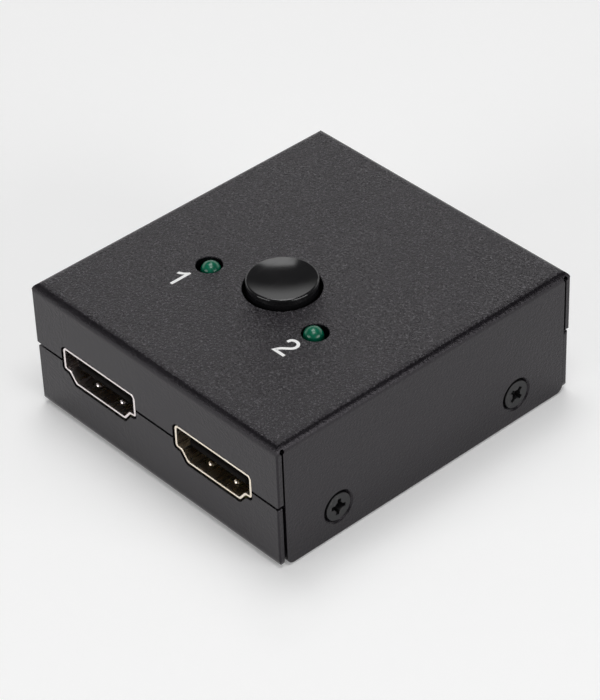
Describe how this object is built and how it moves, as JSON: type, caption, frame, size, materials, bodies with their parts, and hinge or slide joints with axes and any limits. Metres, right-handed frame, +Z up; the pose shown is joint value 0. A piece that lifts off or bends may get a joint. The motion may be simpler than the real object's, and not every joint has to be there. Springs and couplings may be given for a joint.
{
  "type": "video port switch",
  "caption": "Small folded-metal box with two video sockets in front, one behind, a latching push button and two indicator lamps.",
  "frame": {"origin": "centre of the underside", "axes": "+Z up through the button, +Y from the face with two sockets to the face with one, +X along that face to the right"},
  "size_m": [0.0494, 0.0534, 0.0218],
  "materials": {
    "case_paint": "fine-textured black powder coat on folded sheet steel",
    "black_screw": "black oxide, satin",
    "plated_steel": "bright zinc plate",
    "board_laminate": "glass laminate with green solder mask",
    "gold_plating": "flash gold plate on stamped steel, bright",
    "contact_gold": "gold-plated copper alloy",
    "black_nylon": "moulded black nylon",
    "white_acetal": "moulded white acetal",
    "gloss_black": "polished black moulding",
    "green_lens": "tinted green epoxy, clear and glossy",
    "tinned_copper": "tinned copper",
    "spring_wire": "hard drawn steel wire",
    "chip_epoxy": "moulded epoxy",
    "resistor_black": "glazed ceramic",
    "capacitor_tan": "fired ceramic"
  },
  "bodies": {
    "case": {"top_cover": "case_paint", "bottom_tray": "case_paint", "cover_screws": "black_screw", "board_standoffs": "plated_steel", "board_screws": "plated_steel", "circuit_board": "board_laminate", "port_1_shell": "gold_plating", "port_1_insulator": "black_nylon", "port_1_contacts": "contact_gold", "port_2_shell": "gold_plating", "port_2_insulator": "black_nylon", "port_2_contacts": "contact_gold", "common_port_shell": "gold_plating", "common_port_insulator": "black_nylon", "common_port_contacts": "contact_gold", "switch_base": "black_nylon", "switch_housing": "black_nylon", "switch_terminals": "tinned_copper", "switch_spring": "spring_wire", "switch_latch_pin": "spring_wire", "switch_latch_plate": "plated_steel", "lamp_1_lens": "green_lens", "lamp_1_leads": "tinned_copper", "lamp_2_lens": "green_lens", "lamp_2_leads": "tinned_copper", "switching_chips": "chip_epoxy", "voltage_regulator": "chip_epoxy", "regulator_leads": "tinned_copper", "chip_resistors": "resistor_black", "chip_capacitors": "capacitor_tan", "end_caps": "tinned_copper"},
    "button": {"button_cap": "gloss_black", "switch_plunger": "white_acetal", "switch_sliders": "contact_gold"}
  },
  "joints": [
    {"name": "button_press", "type": "slide", "parent": "case", "child": "button", "axis": [0, 0, -1], "range_m": [0, 0.002], "stiffness_N_per_m": 700, "deforming": ["switch_spring"]}
  ]
}
